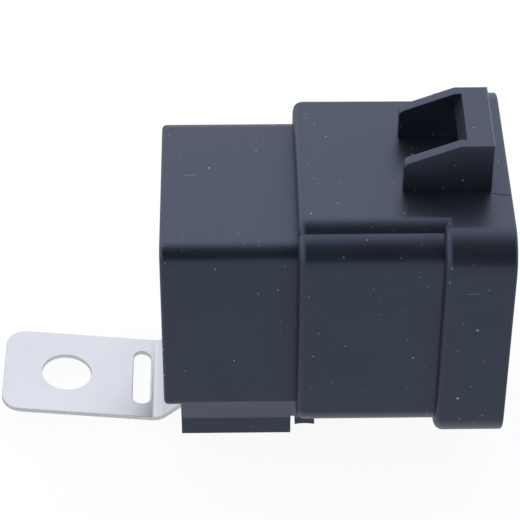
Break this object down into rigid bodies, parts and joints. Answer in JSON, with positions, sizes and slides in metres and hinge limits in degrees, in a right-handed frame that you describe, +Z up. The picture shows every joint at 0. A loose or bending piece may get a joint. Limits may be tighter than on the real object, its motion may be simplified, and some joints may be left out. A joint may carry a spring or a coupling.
{
  "type": "automotive relay",
  "caption": "Sealed plug-in changeover relay: square black can, wider skirt and mouth flange with a latch bridge, flat blades inside, and a bent steel mounting bracket.",
  "frame": {"origin": "centre of the bounding box, on the surface that the relay lies on", "axes": "+X along the can's axis, out of the connector mouth; +Y across, towards coil blade 86; +Z up, towards the latch bridge"},
  "size_m": [0.0686, 0.0358, 0.0471],
  "materials": {
    "black_plastic": "semi-matt black moulded plastic",
    "plated_sheet": "bright zinc-plated sheet steel, satin",
    "base_plastic": "black moulded plastic",
    "resin": "cured black sealing resin",
    "tinned_brass": "tin-plated brass",
    "plated_iron": "plated soft iron",
    "bobbin_plastic": "natural moulded plastic",
    "copper": "enamelled copper wire",
    "spring_bronze": "spring bronze strip",
    "contact_silver": "silver alloy contacts",
    "resistor_body": "lacquered resistor body"
  },
  "bodies": {
    "relay_body": {"housing": "black_plastic", "mounting_bracket": "plated_sheet", "base_plate": "base_plastic", "sealing_compound": "resin", "terminal_30": "tinned_brass", "terminal_85": "tinned_brass", "terminal_86": "tinned_brass", "terminal_87": "tinned_brass", "terminal_87a": "tinned_brass", "yoke": "plated_iron", "iron_core": "plated_iron", "coil_bobbin": "bobbin_plastic", "coil_winding": "copper", "coil_leads": "copper", "fixed_contact_no": "contact_silver", "fixed_contact_nc": "contact_silver", "yoke_rivets": "plated_iron", "suppression_resistor": "resistor_body", "resistor_leads": "tinned_brass"},
    "armature_group": {"armature": "plated_iron", "contact_spring": "spring_bronze", "moving_contact": "contact_silver", "armature_rivets": "plated_iron"}
  },
  "joints": [
    {"name": "armature_pivot", "type": "hinge", "parent": "relay_body", "child": "armature_group", "pos_m": [-0.00432, 0, 0.0121], "axis": [0, 1, 0], "range_deg": [0, 4.33], "stiffness_Nm_per_rad": 0.01, "springref_deg": -5.73, "deforming": ["contact_spring"]}
  ]
}
